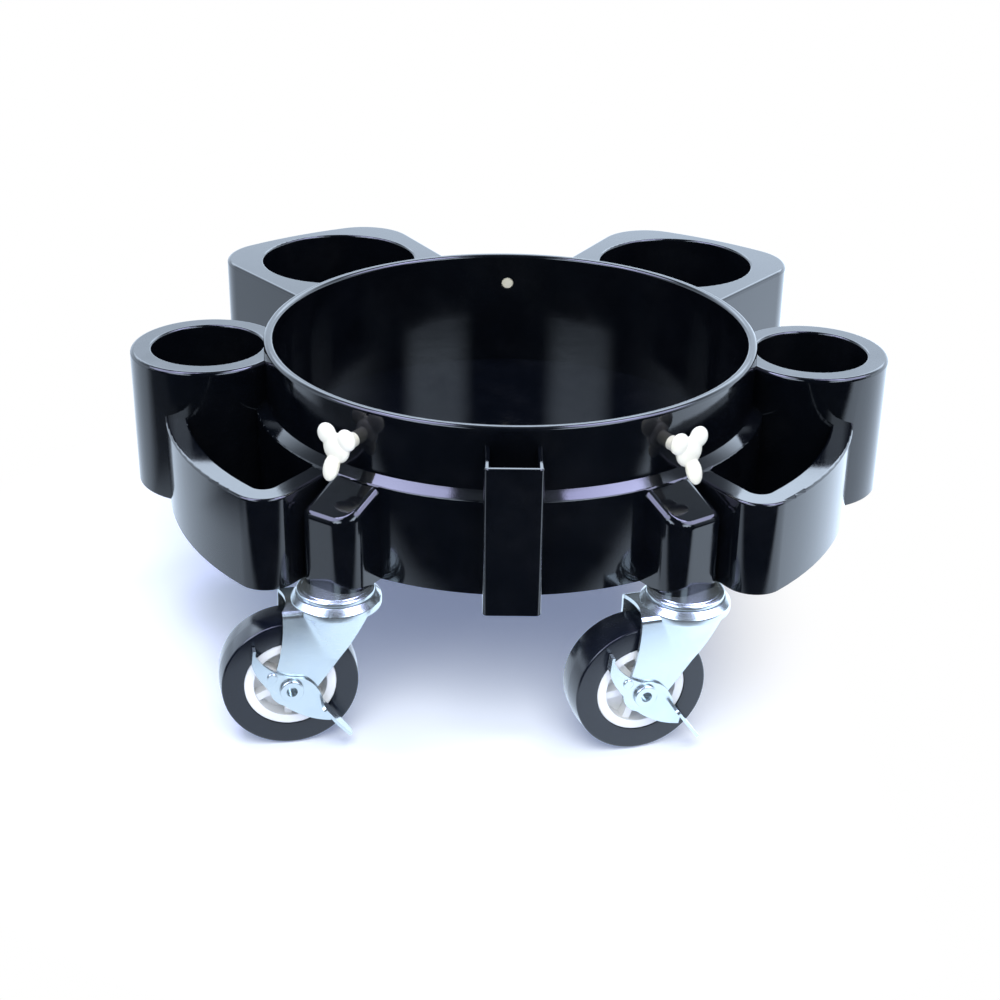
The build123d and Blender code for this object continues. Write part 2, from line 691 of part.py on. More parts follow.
# Brake lever: a plate beside the fork leg, with a pedal folded outwards and a shoe folded inwards
with BuildPart() as brake_lever:
    with BuildSketch(Plane.XZ.offset(lever_y)):
        with BuildLine():
            Spline(*LEVER_UPPER)
            Polyline(LEVER_UPPER[-1], LEVER_FOLD_END, LEVER_LOWER[0])
            Spline(*LEVER_LOWER)
            Line(LEVER_LOWER[-1], LEVER_UPPER[0])
        make_face()
        Circle(AXLE_R + RUNNING, mode=Mode.SUBTRACT)
        with Locations(RIVET_AT):
            Circle(RIVET_PIN_R, mode=Mode.SUBTRACT)
    extrude(amount=LEVER_T)
    fold = (Vector(*LEVER_FOLD_END) - Vector(*LEVER_UPPER[-1])).normalized()
    pedal_plane = Plane(
        origin=(LEVER_UPPER[-1][0], -lever_y, LEVER_UPPER[-1][1]),
        x_dir=(fold.X, 0, fold.Y),
        z_dir=(fold.Y, 0, -fold.X),
    )
    with BuildSketch(pedal_plane) as pedal:
        with BuildLine():
            Polyline(
                (0, 0),
                (PEDAL_L, 0),
                (PEDAL_L, PEDAL_TIP_W),
                (PEDAL_L / 2, PEDAL_W),
                (0, PEDAL_W),
                close=True,
            )
        make_face()
        fillet(pedal.vertices().filter_by(lambda corner: max(corner.X, corner.Y) > LEVER_T), PEDAL_CORNER)
    extrude(amount=LEVER_T)
    edge = (Vector(*LEVER_UPPER[0]) - Vector(*LEVER_LOWER[-1])).normalized()
    shoe_plane = Plane(
        origin=(LEVER_LOWER[-1][0], -lever_y - LEVER_T, LEVER_LOWER[-1][1]),
        x_dir=(edge.X, 0, edge.Y),
        z_dir=(-edge.Y, 0, edge.X),
    )
    with BuildSketch(shoe_plane):
        Rectangle(
            (Vector(*LEVER_UPPER[0]) - Vector(*LEVER_LOWER[-1])).length,
            LEVER_T + SHOE_REACH,
            align=(Align.MIN, Align.MIN),
        )
    extrude(amount=-LEVER_T)

# Stop rivet in the lever
with BuildPart() as brake_rivet:
    with BuildSketch(Plane.XZ.offset(lever_y)):
        with Locations(RIVET_AT):
            Circle(RIVET_PIN_R)
    extrude(amount=LEVER_T)
    with BuildSketch(Plane.XZ.offset(lever_y + LEVER_T)):
        with Locations(RIVET_AT):
            Circle(RIVET_R)
    extrude(amount=RIVET_PROUD)
    fillet(brake_rivet.faces().sort_by(Axis.Y)[0].edges(), RIVET_EDGE)

for name in CASTERS:
    write_copy(stem, caster_plane(name), f"stem_{name}")
    write_copy(raceway_cap, caster_plane(name), f"raceway_cap_{name}")
    write_copy(ball_ring, caster_plane(name), f"ball_ring_{name}")
    write_copy(fork, caster_plane(name), f"fork_{name}")
    write_copy(axle_sleeve, axle_location(name), f"axle_sleeve_{name}")
    write_copy(axle_nut, axle_location(name), f"axle_nut_{name}")
    write_copy(wheel_hub, wheel_location(name), f"wheel_hub_{name}")
    write_copy(tyre, wheel_location(name), f"tyre_{name}")
    if name in BRAKED:
        write_copy(brake_axle_bolt, axle_location(name), f"axle_bolt_{name}")
        write_copy(brake_lever, axle_location(name), f"brake_lever_{name}")
        write_copy(brake_rivet, axle_location(name), f"brake_rivet_{name}")
    else:
        write_copy(axle_bolt, axle_location(name), f"axle_bolt_{name}")
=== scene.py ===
"""Looks of a bucket trolley: a black moulded ring on five swivel casters.

Forms are drawn in millimetres; every finished piece is in metres, in the frame of the solids.
"""
import logging
import math
from dataclasses import dataclass, field
from enum import Enum
from typing import Callable, Mapping, Sequence, Union

import bmesh
import bpy
from mathutils import Matrix, Vector


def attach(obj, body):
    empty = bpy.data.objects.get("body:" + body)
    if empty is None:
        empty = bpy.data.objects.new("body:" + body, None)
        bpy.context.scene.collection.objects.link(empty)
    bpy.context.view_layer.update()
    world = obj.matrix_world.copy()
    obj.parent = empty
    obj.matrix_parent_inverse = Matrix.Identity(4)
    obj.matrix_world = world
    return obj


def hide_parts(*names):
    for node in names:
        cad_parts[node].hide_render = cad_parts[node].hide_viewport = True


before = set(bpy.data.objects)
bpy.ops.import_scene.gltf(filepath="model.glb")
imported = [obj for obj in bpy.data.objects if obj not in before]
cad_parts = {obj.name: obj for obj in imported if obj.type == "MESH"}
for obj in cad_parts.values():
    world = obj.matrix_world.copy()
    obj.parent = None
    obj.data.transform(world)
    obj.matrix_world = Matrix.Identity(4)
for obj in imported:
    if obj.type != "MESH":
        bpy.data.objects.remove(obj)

LOG = logging.getLogger("bucket_trolley")
FLOOR_Z = -0.1115
MM = 0.001
WHITE = (1.0, 1.0, 1.0, 1.0)

Colour = tuple[float, float, float]
Paint = tuple[float, float, float, float]
Point = tuple[float, float, float]
Corner = tuple[float, float, float]
Socket = bpy.types.NodeSocket
Feed = Union[Socket, float, Sequence[float]]
Feeds = Mapping[Union[str, int], Feed]


class Slot(Enum):
    """Material slots of the record."""

    BODY = "black_plastic"
    SCREW = "white_nylon"
    ZINC = "zinc_steel"
    BALLS = "bearing_steel"
    INSERT = "insert_brass"
    HUB = "hub_white"
    TYRE = "tyre_black"


class Effect(Enum):
    """Surface effects that several finishes share."""

    MOULD_SKIN = "mould_skin"
    HAIR_SCRATCHES = "hair_scratches"
    SETTLED_DUST = "settled_dust"


@dataclass(frozen=True)
class Ramp:
    """A smooth step: where it starts and ends, and its results there."""

    low: float
    high: float
    to_low: float = 0.0
    to_high: float = 1.0


class ShaderTree:
    """Places nodes in one node tree and feeds their sockets."""

    def __init__(self, tree: bpy.types.NodeTree) -> None:
        """Keep the tree to work in."""
        self.tree = tree

    def feed(self, node: bpy.types.Node, feeds: Feeds) -> None:
        """Set or link inputs of a node.

        Args:
            node: the node.
            feeds: a value or an output socket for each named or numbered input.
        """
        for key, feed in feeds.items():
            if isinstance(feed, Socket):
                self.tree.links.new(feed, node.inputs[key])
            else:
                node.inputs[key].default_value = feed

    def add(self, kind: str, feeds: Feeds | None = None, **settings: object) -> bpy.types.Node:
        """Place one node.

        Args:
            kind: Blender's name for the node type.
            feeds: a value or an output socket for each named or numbered input.
            settings: properties of the node itself.

        Returns:
            The node.
        """
        node = self.tree.nodes.new(kind)
        for name, value in settings.items():
            setattr(node, name, value)
        self.feed(node, feeds or {})
        return node

    def math(self, operation: str, first: Feed, second: Feed = 0.0, clamp: bool = False) -> Socket:
        """Output of a Math node.

        Args:
            operation: the Math node's operation.
            first: its first input.
            second: its second input.
            clamp: whether the result is held between 0 and 1.

        Returns:
            The value socket.
        """
        feeds = {0: first, 1: second}
        return self.add("ShaderNodeMath", feeds, operation=operation, use_clamp=clamp).outputs[0]

    def ramp(self, value: Feed, step: Ramp) -> Socket:
        """Output of a smooth Map Range node.

        Args:
            value: the value to map.
            step: the ramp.

        Returns:
            The result socket.
        """
        feeds = {
            "Value": value,
            "From Min": step.low,
            "From Max": step.high,
            "To Min": step.to_low,
            "To Max": step.to_high,
        }
        node = self.add("ShaderNodeMapRange", feeds, interpolation_type="SMOOTHSTEP")
        return node.outputs["Result"]

    def blend(self, share: Feed, first: Feed, second: Feed) -> Socket:
        """Output of a colour Mix node.

        Args:
            share: how much of the second colour shows, from 0 to 1.
            first: the first colour.
            second: the second colour.

        Returns:
            The colour socket.
        """
        feeds = {0: share, 6: first, 7: second}
        return self.add("ShaderNodeMix", feeds, data_type="RGBA").outputs[2]

    def mix(self, share: Feed, first: bpy.types.Node, second: bpy.types.Node) -> bpy.types.Node:
        """Place a Mix Shader node.

        Args:
            share: how much of the second shader shows, from 0 to 1.
            first: node of the first shader.
            second: node of the second shader.

        Returns:
            The node.
        """
        feeds = {0: share, 1: first.outputs[0], 2: second.outputs[0]}
        return self.add("ShaderNodeMixShader", feeds)

    def noise(
        self, vector: Feed, scale: Feed, detail: float = 2.0, roughness: float = 0.5
    ) -> Socket:
        """Output of a Noise Texture node.

        Args:
            vector: where the noise is read.
            scale: its scale, per metre.
            detail: its octaves.
            roughness: how strong the finer octaves are.

        Returns:
            The value socket, from 0 to 1.
        """
        feeds = {"Vector": vector, "Scale": scale, "Detail": detail, "Roughness": roughness}
        return self.add("ShaderNodeTexNoise", feeds).outputs[0]


@dataclass
class EffectKit:
    """Builds each shared effect once, as a shader node group."""

    grain_share: float = 0.25
    flow_tone: Ramp = Ramp(0.3, 0.7)
    hair_turn: Point = (0.4, 0.9, 0.3)
    hair_stretch: Point = (0.22, 1.0, 1.6)
    hair_level: float = 0.5
    hair_width: Ramp = Ramp(0.0, 0.006, 1.0, 0.0)
    patch_scale: float = 38.0
    patch_edge: Ramp = Ramp(0.5, 0.68)
    speck_size: Ramp = Ramp(0.04, 0.12, 1.0, 0.0)
    film_scale: float = 22.0
    film_edge: Ramp = Ramp(0.42, 0.8)
    film_share: float = 0.35
    groups: dict[Effect, bpy.types.NodeTree] = field(init=False)

    def __post_init__(self) -> None:
        """Build all groups."""
        self.groups = {
            Effect.MOULD_SKIN: self._mould_skin(),
            Effect.HAIR_SCRATCHES: self._hair_scratches(),
            Effect.SETTLED_DUST: self._settled_dust(),
        }

    @staticmethod
    def _start(
        effect: Effect, inputs: Sequence[str], outputs: Sequence[str]
    ) -> tuple[ShaderTree, bpy.types.Node, bpy.types.Node]:
        """Start a node group.

        Args:
            effect: the effect that the group makes.
            inputs: names of its value inputs, after Vector.
            outputs: names of its value outputs.

        Returns:
            The group's tree, its input node and its output node.
        """
        group = bpy.data.node_groups.new(effect.value, "ShaderNodeTree")
        group.interface.new_socket("Vector", in_out="INPUT", socket_type="NodeSocketVector")
        for name in inputs:
            group.interface.new_socket(name, in_out="INPUT", socket_type="NodeSocketFloat")
        for name in outputs:
            group.interface.new_socket(name, in_out="OUTPUT", socket_type="NodeSocketFloat")
        tree = ShaderTree(group)
        return tree, tree.add("NodeGroupInput"), tree.add("NodeGroupOutput")

    def _mould_skin(self) -> bpy.types.NodeTree:
        """Skin of a moulding: fine grain over slow flow marks.

        Returns:
            The group.
        """
        inputs = ("Grain Scale", "Flow Scale")
        tree, given, result = self._start(Effect.MOULD_SKIN, inputs, ("Height", "Tone"))
        where = given.outputs["Vector"]
        grain = tree.noise(where, given.outputs["Grain Scale"], detail=3.0)
        flow = tree.noise(where, given.outputs["Flow Scale"], detail=4.0, roughness=0.6)
        height = tree.math("ADD", tree.math("MULTIPLY", grain, self.grain_share), flow)
        tree.feed(result, {"Height": height, "Tone": tree.ramp(flow, self.flow_tone)})
        return tree.tree

    def _hair_scratches(self) -> bpy.types.NodeTree:
        """Hairline handling scratches in broken patches.

        Returns:
            The group.
        """
        tree, given, result = self._start(Effect.HAIR_SCRATCHES, ("Scale", "Amount"), ("Mask",))
        where = given.outputs["Vector"]
        feeds = {"Vector": where, "Rotation": self.hair_turn, "Scale": self.hair_stretch}
        lay = tree.add("ShaderNodeMapping", feeds).outputs["Vector"]
        lines = tree.noise(lay, given.outputs["Scale"], detail=1.0)
        offset = tree.math("ABSOLUTE", tree.math("SUBTRACT", lines, self.hair_level))
        hair = tree.ramp(offset, self.hair_width)
        patches = tree.ramp(tree.noise(where, self.patch_scale, detail=3.0), self.patch_edge)
        broken = tree.math("MULTIPLY", hair, patches)
        tree.feed(result, {"Mask": tree.math("MULTIPLY", broken, given.outputs["Amount"])})
        return tree.tree

    def _settled_dust(self) -> bpy.types.NodeTree:
        """Specks and a thin film of dust.

        Returns:
            The group.
        """
        inputs = ("Speck Scale", "Amount")
        tree, given, result = self._start(Effect.SETTLED_DUST, inputs, ("Mask",))
        where = given.outputs["Vector"]
        feeds = {"Vector": where, "Scale": given.outputs["Speck Scale"]}
        cells = tree.add("ShaderNodeTexVoronoi", feeds).outputs["Distance"]
        specks = tree.ramp(cells, self.speck_size)
        film = tree.noise(where, self.film_scale, detail=5.0, roughness=0.65)
        film = tree.ramp(film, self.film_edge)
        thin = tree.math("MULTIPLY", film, self.film_share)
        both = tree.math("ADD", tree.math("MULTIPLY", specks, film), thin, clamp=True)
        tree.feed(result, {"Mask": tree.math("MULTIPLY", both, given.outputs["Amount"])})
        return tree.tree

    def place(self, tree: ShaderTree, effect: Effect, feeds: Feeds) -> bpy.types.Node:
        """Place an effect's group in a material.

        Args:
            tree: the material's tree.
            effect: which effect.
            feeds: values and sockets for the group's inputs.

        Returns:
            The group node.
        """
        return tree.add("ShaderNodeGroup", feeds, node_tree=self.groups[effect])


@dataclass(frozen=True)
class Finish:
    """A finish of this object, with the plain values of its shader."""

    slot: Slot
    colour: Colour
    shade: Colour
    roughness: tuple[float, float]
    metallic: float = 0.0
    grain: float = 1500.0
    flow: float = 40.0
    bump: float = 0.05
    bump_depth: float = 0.0006
    scratch_scale: float = 260.0
    scratches: float = 0.5
    scratch_roughness: float = 0.25
    speck_scale: float = 420.0
    dust: float = 0.2
    dust_roughness: float = 0.3
    dust_colour: Colour = (0.30, 0.30, 0.32)

    def build(self, kit: EffectKit) -> bpy.types.Material:
        """Build the material of this finish.

        Args:
            kit: the shared effects.

        Returns:
            The material.
        """
        material = bpy.data.materials.new(self.slot.value)
        material.use_nodes = True
        material.node_tree.nodes.clear()
        tree = ShaderTree(material.node_tree)
        where = tree.add("ShaderNodeTexCoord").outputs["Object"]
        feeds = {"Vector": where, "Grain Scale": self.grain, "Flow Scale": self.flow}
        skin = kit.place(tree, Effect.MOULD_SKIN, feeds).outputs
        feeds = {"Vector": where, "Scale": self.scratch_scale, "Amount": self.scratches}
        scratch = kit.place(tree, Effect.HAIR_SCRATCHES, feeds).outputs["Mask"]
        feeds = {"Vector": where, "Speck Scale": self.speck_scale, "Amount": self.dust}
        dust = kit.place(tree, Effect.SETTLED_DUST, feeds).outputs["Mask"]
        colour = tree.blend(skin["Tone"], (*self.shade, 1.0), (*self.colour, 1.0))
        colour = tree.blend(dust, colour, (*self.dust_colour, 1.0))
        rough = tree.ramp(skin["Tone"], Ramp(0.0, 1.0, *self.roughness))
        worn = tree.math("MULTIPLY", scratch, self.scratch_roughness)
        dull = tree.math("MULTIPLY", dust, self.dust_roughness)
        rough = tree.math("ADD", tree.math("ADD", rough, worn), dull, clamp=True)
        feeds = {"Strength": self.bump, "Distance": self.bump_depth, "Height": skin["Height"]}
        bump = tree.add("ShaderNodeBump", feeds).outputs["Normal"]
        feeds = {
            "Base Color": colour,
            "Roughness": rough,
            "Metallic": self.metallic,
            "Normal": bump,
        }
        shader = tree.add("ShaderNodeBsdfPrincipled", feeds)
        tree.add("ShaderNodeOutputMaterial", {"Surface": shader.outputs["BSDF"]})
        return material


FINISHES = (
    Finish(Slot.BODY, (0.0022, 0.0030, 0.0048), (0.0016, 0.0022, 0.0036), (0.06, 0.11), dust=0.03),
    Finish(
        Slot.SCREW, (0.86, 0.83, 0.70), (0.78, 0.74, 0.60), (0.34, 0.46), scratches=0.2, dust=0.1
    ),
    Finish(
        Slot.ZINC, (0.56, 0.62, 0.64), (0.48, 0.54, 0.58), (0.17, 0.27), metallic=0.87, dust=0.03
    ),
    Finish(Slot.BALLS, (0.72, 0.72, 0.74), (0.60, 0.60, 0.63), (0.10, 0.18), metallic=1.0),
    Finish(Slot.INSERT, (0.72, 0.52, 0.22), (0.60, 0.42, 0.17), (0.25, 0.36), metallic=1.0),
    Finish(Slot.HUB, (0.86, 0.86, 0.85), (0.78, 0.78, 0.77), (0.32, 0.44), dust=0.12),
    Finish(Slot.TYRE, (0.005, 0.007, 0.013), (0.0035, 0.005, 0.010), (0.14, 0.24), dust=0.03),
)

NODE_SLOTS = {
    "body_moulding": Slot.BODY,
    "stem_inserts": Slot.INSERT,
    "thumbscrew": Slot.SCREW,
    "ball_ring": Slot.BALLS,
    "wheel_hub": Slot.HUB,
    "tyre": Slot.TYRE,
}


@dataclass(frozen=True)
class PhotoCamera:
    """The camera: where it stands, its axes and its lens in millimetres."""

    at: Point = (-0.0184, -0.9696, 0.4349)
    right: Point = (0.99986901, -0.00723929, 0.0144757)
    up: Point = (-0.00983394, 0.43863268, 0.89861263)
    ahead: Point = (0.01285483, 0.89863728, -0.43850404)
    lens: float = 63.9
    sensor: float = 36.0
    clip_start: float = 0.01

    def build(self) -> None:
        """Put the camera where the photograph was taken."""
        data = bpy.data.cameras.new("photo_camera")
        data.lens = self.lens
        data.sensor_width = self.sensor
        data.sensor_fit = "HORIZONTAL"
        data.clip_start = self.clip_start
        camera = bpy.data.objects.new("photo_camera", data)
        turn = Matrix((Vector(self.right), Vector(self.up), -Vector(self.ahead))).transposed()
        camera.matrix_world = Matrix.Translation(self.at) @ turn.to_4x4()
        bpy.context.scene.collection.objects.link(camera)
        bpy.context.scene.camera = camera


@dataclass(frozen=True)
class SoftBox:
    """A rectangular lamp: its middle, the point that it faces, its size, power and colour."""

    name: str
    at: Point
    aim: Point
    size: tuple[float, float]
    watts: float
    colour: Colour
    mirrored: bool = True

    def build(self) -> None:
        """Hang the lamp."""
        data = bpy.data.lights.new(self.name, "AREA")
        data.shape = "RECTANGLE"
        data.size, data.size_y = self.size
        data.energy = self.watts
        data.color = self.colour
        lamp = bpy.data.objects.new(self.name, data)
        turn = (Vector(self.aim) - Vector(self.at)).to_track_quat("-Z", "Y")
        lamp.matrix_world = Matrix.Translation(self.at) @ turn.to_matrix().to_4x4()
        lamp.visible_glossy = self.mirrored
        bpy.context.scene.collection.objects.link(lamp)


SOFT_BOXES = (
    SoftBox(
        "key_left", (-0.60, 0.07, 1.53), (0.0, -0.1, 0.0), (0.50, 0.55), 11.0, (0.60, 0.62, 1.0)
    ),
    SoftBox(
        "key_right", (0.60, 0.07, 1.53), (0.0, -0.1, 0.0), (0.50, 0.55), 12.0, (0.58, 0.59, 1.0)
    ),
    SoftBox(
        "front_fill",
        (0.0, -1.25, 1.55),
        (0.0, -0.1, -0.05),
        (1.6, 1.5),
        34.0,
        (1.0, 1.0, 0.97),
        mirrored=False,
    ),
)


@dataclass(frozen=True)
class Card:
    """A bright card on each side of the room: its direction, its soft edge and its light."""

    toward: Point
    edge: Ramp
    light: float

    def mask(self, tree: ShaderTree, heading: Feed, side: float) -> Socket:
        """Share of the card that each direction meets.

        Args:
            tree: the world's tree.
            heading: the direction.
            side: -1 for the card on the left, 1 for the one on the right.

        Returns:
            The value socket, from 0 to 1.
        """
        across, back, up = self.toward
        feeds = {0: heading, 1: (side * across, back, up)}
        near = tree.add("ShaderNodeVectorMath", feeds, operation="DOT_PRODUCT")
        return tree.ramp(near.outputs["Value"], self.edge)


@dataclass(frozen=True)
class Room:
    """The surround: white to the camera, and in mirrors a room with a dark side at the camera."""

    fill_colour: Paint = (0.76, 0.88, 1.0, 1.0)
    fill_light: float = 0.58
    wall_colour: Paint = (0.70, 0.83, 1.0, 1.0)
    camera_side: Ramp = Ramp(-0.45, 0.15, 0.012, 1.0)
    left_to_right: Ramp = Ramp(-0.9, 0.9, 0.85, 1.35)
    wall: Ramp = Ramp(0.45, 0.75, 1.7, 0.4)
    skirting: Ramp = Ramp(0.36, 0.42, 0.8, 0.0)
    band_foot: Ramp = Ramp(0.36, 0.44)
    band_head: Ramp = Ramp(0.70, 0.90, 1.0, 0.0)
    band_back: Ramp = Ramp(0.45, 0.75, 0.0, 4.0)
    screen: Card = Card((0.55, -0.70, 0.45), Ramp(0.94, 0.99), 9.0)
    screen_foot: Ramp = Ramp(0.349, 0.359)
    high_card: Card = Card((0.605, -0.15, 0.77), Ramp(0.88, 0.95), 9.0)
    high_colour: Paint = (0.62, 0.65, 1.0, 1.0)

    def build(self) -> None:
        """Make the world."""
        world = bpy.data.worlds.new("studio")
        world.use_nodes = True
        world.node_tree.nodes.clear()
        tree = ShaderTree(world.node_tree)
        path = tree.add("ShaderNodeLightPath").outputs
        light, hue = self._mirrored(tree)
        feeds = {"Color": self.fill_colour, "Strength": self.fill_light}
        fill = tree.add("ShaderNodeBackground", feeds)
        walls = tree.add("ShaderNodeBackground", {"Color": hue, "Strength": light})
        white = tree.add("ShaderNodeBackground", {"Color": WHITE, "Strength": 1.0})
        mirror = tree.math("MAXIMUM", path["Is Glossy Ray"], path["Is Transmission Ray"])
        seen = tree.mix(path["Is Camera Ray"], tree.mix(mirror, fill, walls), white)
        tree.add("ShaderNodeOutputWorld", {"Surface": seen.outputs[0]})
        bpy.context.scene.world = world

    def _mirrored(self, tree: ShaderTree) -> tuple[Socket, Socket]:
        """The room as mirrors show it, by direction.

        Args:
            tree: the world's tree.

        Returns:
            The strength socket and the colour socket.
        """
        heading = tree.add("ShaderNodeTexCoord").outputs["Generated"]
        way = tree.add("ShaderNodeSeparateXYZ", {0: heading}).outputs
        front = tree.ramp(way["Y"], self.camera_side)
        side = tree.math("MULTIPLY", front, tree.ramp(way["X"], self.left_to_right))
        low = tree.math("ADD", tree.ramp(way["Z"], self.wall), tree.ramp(way["Z"], self.skirting))
        foot, head = tree.ramp(way["Z"], self.band_foot), tree.ramp(way["Z"], self.band_head)
        back = tree.ramp(way["Y"], self.band_back)
        band = tree.math("MULTIPLY", tree.math("MULTIPLY", foot, head), back)
        light = tree.math("MULTIPLY", side, tree.math("ADD", low, band))
        hue: Feed = self.wall_colour
        raised = tree.ramp(way["Z"], self.screen_foot)
        for hand in (-1.0, 1.0):
            screen = tree.math("MULTIPLY", self.screen.mask(tree, heading, hand), raised)
            light = tree.math("ADD", light, tree.math("MULTIPLY", screen, self.screen.light))
            high = self.high_card.mask(tree, heading, hand)
            light = tree.math("ADD", light, tree.math("MULTIPLY", high, self.high_card.light))
            hue = tree.blend(high, hue, self.high_colour)
        return light, hue


@dataclass(frozen=True)
class Floor:
    """Pale paper floor that fades into the white surround."""

    half: float = 6.0
    paper_colour: Paint = (0.92, 0.95, 1.0, 1.0)
    # Lavender emission on the paper: painted fill light that lifts and tints its shadows.
    painted_fill_colour: Paint = (0.50, 0.60, 1.0, 1.0)
    painted_fill_light: float = 0.26
    fade: Ramp = Ramp(0.24, 0.41)
    # Painted light: to the camera the paper turns white towards the right, wiping out the
    # trolley's shadow there.
    painted_light_right: Ramp = Ramp(0.06, 0.20)
    # Painted reflection light: in mirrors the floor is an emission, dark towards the camera and at
    # the front left, brighter to the right.
    mirror_colour: Paint = (0.70, 0.83, 1.0, 1.0)
    mirror_front: Ramp = Ramp(-0.30, -0.24, 0.008, 1.0)
    mirror_left: Ramp = Ramp(-0.46, -0.36, 0.1, 1.0)
    mirror_left_back: Ramp = Ramp(-0.1, 0.05)
    mirror_light: Ramp = Ramp(-0.3, 0.4, 1.5, 2.8)

    def build(self) -> None:
        """Lay the floor."""
        mesh = bpy.data.meshes.new("floor")
        shape = bmesh.new()
        bmesh.ops.create_grid(shape, x_segments=1, y_segments=1, size=self.half)
        bmesh.ops.translate(shape, verts=shape.verts, vec=(0.0, 0.0, FLOOR_Z))
        shape.to_mesh(mesh)
        shape.free()
        floor = bpy.data.objects.new("floor", mesh)
        bpy.context.scene.collection.objects.link(floor)
        mesh.materials.append(self._paper())

    def _paper(self) -> bpy.types.Material:
        """Paper that keeps shadows near the trolley, with painted lavender fill light in them and
        painted light that wipes them out on the right, and that glows in mirrors as painted
        reflection light, dark towards the camera.

        Returns:
            The material.
        """
        material = bpy.data.materials.new("floor_paper")
        material.use_nodes = True
        material.node_tree.nodes.clear()
        tree = ShaderTree(material.node_tree)
        where = tree.add("ShaderNodeTexCoord").outputs["Object"]
        place = tree.add("ShaderNodeSeparateXYZ", {0: where}).outputs
        path = tree.add("ShaderNodeLightPath").outputs
        paper = tree.add("ShaderNodeBsdfDiffuse", {"Color": self.paper_colour})
        # Painted fill light: a lavender emission added to the paper, lighting its shadows.
        feeds = {"Color": self.painted_fill_colour, "Strength": self.painted_fill_light}
        painted_fill = tree.add("ShaderNodeEmission", feeds)
        lit = tree.add("ShaderNodeAddShader", {0: paper.outputs[0], 1: painted_fill.outputs[0]})
        white = tree.add("ShaderNodeEmission", {"Color": WHITE, "Strength": 1.0})
        away = tree.add("ShaderNodeVectorMath", {0: where}, operation="LENGTH").outputs["Value"]
        # Painted light right of the trolley: the paper turns white to the camera, wiping out the
        # shadow there.
        right = tree.ramp(place["X"], self.painted_light_right)
        bright = tree.math("MAXIMUM", tree.ramp(away, self.fade), right)
        near = tree.mix(tree.math("MULTIPLY", bright, path["Is Camera Ray"]), lit, white)
        # Painted reflection light: glossy rays see the floor as an emission, dark at the front,
        # dimmer at the front left, and brighter to the right.
        front = tree.ramp(place["Y"], self.mirror_front)
        left_back = tree.ramp(place["Y"], self.mirror_left_back)
        left = tree.math("MAXIMUM", tree.ramp(place["X"], self.mirror_left), left_back)
        side = tree.math("MULTIPLY", tree.ramp(place["X"], self.mirror_light), left)
        feeds = {"Color": self.mirror_colour, "Strength": tree.math("MULTIPLY", front, side)}
        whole = tree.mix(path["Is Glossy Ray"], near, tree.add("ShaderNodeEmission", feeds))
        tree.add("ShaderNodeOutputMaterial", {"Surface": whole.outputs[0]})
        return material


@dataclass(frozen=True)
class Studio:
    """Camera, room, floor and lamps."""

    camera: PhotoCamera = PhotoCamera()
    room: Room = Room()
    floor: Floor = Floor()
    lamps: tuple[SoftBox, ...] = SOFT_BOXES

    def build(self) -> None:
        """Set up the whole studio."""
        self.camera.build()
        self.room.build()
        self.floor.build()
        for lamp in self.lamps:
            lamp.build()
        bpy.context.scene.view_settings.view_transform = "Standard"


def rounded(outline: Sequence[Corner], steps: int = 5) -> list[Vector]:
    """Points of an open profile with arcs at its corners.

    Args:
        outline: across, along and corner radius of each point.
        steps: spans in each arc.

    Returns:
        The points, in order.
    """
    points = [Vector(corner[:2]) for corner in outline]
    radii = [corner[2] for corner in outline]
    path = [points[0]]
    for before, corner, after, radius in zip(points, points[1:], points[2:], radii[1:]):
        if radius == 0.0:
            path.append(corner)
            continue
        first, second = (before - corner).normalized(), (after - corner).normalized()
        half = first.angle(second) / 2
        middle = corner + (first + second).normalized() * (radius / math.sin(half))
        reach = radius / math.tan(half)
        start, end = corner + first * reach - middle, corner + second * reach - middle
        for step in range(steps + 1):
            path.append(middle + start.lerp(end, step / steps).normalized() * radius)
    path.append(points[-1])
    return path


@dataclass(frozen=True)
class Lump:
    """An ellipsoid that starts on the Z axis and points away from it, with angles in degrees."""

    height: float
    out: float
    radii: Point
    turn: float = 0.0
    lean: float = 0.0
    spans: tuple[int, int] = (40, 24)

    def frame(self) -> Matrix:
        """Frame of the ellipsoid, with its half sizes as scale.

        Returns:
            The matrix.
        """
        turn = Matrix.Rotation(math.radians(self.turn), 4, "Z")
        lean = Matrix.Rotation(-math.radians(self.lean), 4, "Y")
        start = Matrix.Translation((0.0, 0.0, self.height)) @ turn @ lean
        centre = start @ Matrix.Translation((self.out, 0.0, 0.0))
        return centre @ Matrix.Diagonal((*self.radii, 1.0))


